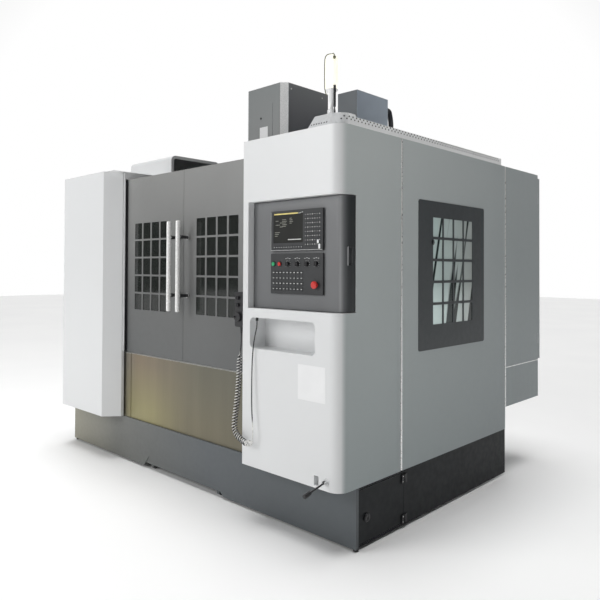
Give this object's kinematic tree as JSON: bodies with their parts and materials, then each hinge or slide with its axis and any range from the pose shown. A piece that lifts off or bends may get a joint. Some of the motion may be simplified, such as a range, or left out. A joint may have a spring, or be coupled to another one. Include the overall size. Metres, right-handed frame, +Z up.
{
  "type": "vertical machining centre",
  "caption": "Vertical machining centre in a closed cabinet, with sliding doors, side window, operator panel, hand pendant, tool changer and signal lamp.",
  "frame": {"origin": "on the floor under the middle of the machine's bounding box", "axes": "+X to the machine's right as the operator sees it, +Y back from the operator's side, +Z up"},
  "size_m": [3.086, 2.655, 3.069],
  "materials": {
    "white_paint": "semi-gloss powder coat",
    "grey_paint": "satin powder coat",
    "base_paint": "satin powder coat",
    "dark_paint": "satin powder coat",
    "panel_face": "matt fine texture",
    "stainless": "brushed",
    "sheet_steel": "satin",
    "machined_iron": "painted casting with ground ways",
    "ground_steel": "ground",
    "bright_metal": "polished",
    "black_plastic": "moulded",
    "green_plastic": "moulded",
    "red_plastic": "moulded",
    "lens_plastic": "translucent moulding",
    "cord_rubber": "matt sheath",
    "window_glass": "tinted safety glass"
  },
  "bodies": {
    "machine": {"front_skirt": "base_paint", "side_skirts": "dark_paint", "hatch_hinges": "black_plastic", "coolant_tank": "sheet_steel", "levelling_pads": "machined_iron", "bed": "machined_iron", "column": "machined_iron", "column_cap": "grey_paint", "cable_conduit": "cord_rubber", "chip_trays": "sheet_steel", "left_cover": "white_paint", "control_cabinet": "white_paint", "front_apron": "stainless", "enclosure_panels": "white_paint", "side_window_frames": "dark_paint", "side_window_panes": "window_glass", "roof_covers": "white_paint", "magazine_cover": "white_paint", "door_rails": "sheet_steel", "operator_housing": "panel_face", "operator_panels": "black_plastic", "pendant": "black_plastic", "pendant_lead": "cord_rubber", "curly_cord": "cord_rubber", "pocket_lead": "cord_rubber", "pocket_gland": "black_plastic", "lamp_pole": "white_paint", "lamp_lens": "lens_plastic", "electrical_cabinet": "white_paint", "fixed_way_covers": "sheet_steel", "changer_frame": "grey_paint"},
    "left_door": {"left_door": "grey_paint", "left_door_glass": "window_glass", "left_door_handle": "bright_metal"},
    "right_door": {"right_door": "grey_paint", "right_door_glass": "window_glass", "right_door_handle": "bright_metal"},
    "head": {"spindle_head": "machined_iron", "head_cover": "grey_paint"},
    "base_hatch": {"base_hatch": "dark_paint"},
    "start_button": {"start_button": "green_plastic"},
    "stop_button": {"stop_button": "red_plastic"},
    "mode_knob": {"mode_knob": "black_plastic"},
    "feed_knob": {"feed_knob": "black_plastic"},
    "rapid_knob": {"rapid_knob": "black_plastic"},
    "spindle_knob": {"spindle_knob": "black_plastic"},
    "emergency_stop": {"emergency_stop": "red_plastic"},
    "handwheel": {"handwheel": "black_plastic"},
    "valve_lever": {"valve_lever": "black_plastic"},
    "electrical_door": {"electrical_door": "white_paint"},
    "main_switch": {"main_switch": "red_plastic"},
    "saddle": {"saddle": "machined_iron"},
    "work_table": {"work_table": "machined_iron"},
    "spindle": {"spindle": "ground_steel"},
    "front_way_cover": {"front_way_cover": "sheet_steel"},
    "rear_way_cover": {"rear_way_cover": "sheet_steel"},
    "z_way_cover": {"z_way_cover": "sheet_steel"},
    "tool_magazine": {"tool_magazine": "dark_paint"},
    "arm_shaft": {"arm_shaft": "ground_steel"},
    "tool_arm": {"tool_arm": "ground_steel"}
  },
  "joints": [
    {"name": "left_door_slide", "type": "slide", "parent": "machine", "child": "left_door", "axis": [-1, 0, 0], "range_m": [0, 0.63]},
    {"name": "right_door_slide", "type": "slide", "parent": "machine", "child": "right_door", "axis": [1, 0, 0], "range_m": [0, 0.63]},
    {"name": "hatch_hinge", "type": "hinge", "parent": "machine", "child": "base_hatch", "pos_m": [1.533, -0.5775, 0.165], "axis": [0, 0, 1], "range_deg": [0, 100]},
    {"name": "start_press", "type": "slide", "parent": "machine", "child": "start_button", "axis": [0, 1, 0], "range_m": [0, 0.003], "stiffness_N_per_m": 400},
    {"name": "stop_press", "type": "slide", "parent": "machine", "child": "stop_button", "axis": [0, 1, 0], "range_m": [0, 0.003], "stiffness_N_per_m": 400},
    {"name": "emergency_press", "type": "slide", "parent": "machine", "child": "emergency_stop", "axis": [0, 1, 0], "range_m": [0, 0.005]},
    {"name": "handwheel_turn", "type": "hinge", "parent": "machine", "child": "handwheel", "pos_m": [0.757, -1.1615, 1.185], "axis": [0, -1, 0], "continuous": true},
    {"name": "valve_turn", "type": "hinge", "parent": "machine", "child": "valve_lever", "pos_m": [1.449, -1.1745, 0.378], "axis": [1, 0, 0], "range_deg": [-60, 20]},
    {"name": "electrical_door_hinge", "type": "hinge", "parent": "machine", "child": "electrical_door", "pos_m": [1.5385, 1.2495, 1.483], "axis": [0, 0, -1], "range_deg": [0, 110]},
    {"name": "main_switch_turn", "type": "hinge", "parent": "electrical_door", "child": "main_switch", "pos_m": [1.4, 1.2975, 2], "axis": [0, 1, 0], "range_deg": [0, 90]},
    {"name": "y_axis", "type": "slide", "parent": "machine", "child": "saddle", "axis": [0, 1, 0], "range_m": [-0.3, 0.3]},
    {"name": "x_axis", "type": "slide", "parent": "saddle", "child": "work_table", "axis": [1, 0, 0], "range_m": [-0.55, 0.55]},
    {"name": "z_axis", "type": "slide", "parent": "machine", "child": "head", "axis": [0, 0, 1], "range_m": [-0.6, 0]},
    {"name": "spindle_turn", "type": "hinge", "parent": "head", "child": "spindle", "pos_m": [0, -0.0515, 1.62], "axis": [0, 0, -1], "continuous": true},
    {"name": "front_cover_slide", "type": "slide", "parent": "machine", "child": "front_way_cover", "axis": [0, 1, 0], "range_m": [-0.15, 0.15]},
    {"name": "rear_cover_slide", "type": "slide", "parent": "machine", "child": "rear_way_cover", "axis": [0, 1, 0], "range_m": [-0.15, 0.15]},
    {"name": "z_cover_slide", "type": "slide", "parent": "machine", "child": "z_way_cover", "axis": [0, 0, 1], "range_m": [-0.3, 0]},
    {"name": "magazine_turn", "type": "hinge", "parent": "machine", "child": "tool_magazine", "pos_m": [-0.79, -0.348, 2.05], "axis": [1, 0, 0], "continuous": true},
    {"name": "arm_lift", "type": "slide", "parent": "machine", "child": "arm_shaft", "axis": [0, 0, 1], "range_m": [-0.115, 0]},
    {"name": "arm_turn", "type": "hinge", "parent": "arm_shaft", "child": "tool_arm", "pos_m": [-0.407, -0.1995, 1.593], "axis": [0, 0, -1], "range_deg": [0, 250]},
    {"name": "mode_knob_turn", "type": "hinge", "parent": "machine", "child": "mode_knob", "pos_m": [1.136, -1.1295, 1.496], "axis": [0, -1, 0], "range_deg": [-135, 135]},
    {"name": "feed_knob_turn", "type": "hinge", "parent": "machine", "child": "feed_knob", "pos_m": [1.208, -1.1295, 1.496], "axis": [0, -1, 0], "range_deg": [-135, 135]},
    {"name": "rapid_knob_turn", "type": "hinge", "parent": "machine", "child": "rapid_knob", "pos_m": [1.28, -1.1295, 1.496], "axis": [0, -1, 0], "range_deg": [-135, 135]},
    {"name": "spindle_knob_turn", "type": "hinge", "parent": "machine", "child": "spindle_knob", "pos_m": [1.348, -1.1295, 1.496], "axis": [0, -1, 0], "range_deg": [-135, 135]}
  ],
  "couplings": [
    {"joint": "front_cover_slide", "follows": "y_axis", "ratio": 0.5},
    {"joint": "rear_cover_slide", "follows": "y_axis", "ratio": 0.5},
    {"joint": "z_cover_slide", "follows": "z_axis", "ratio": 0.5}
  ]
}
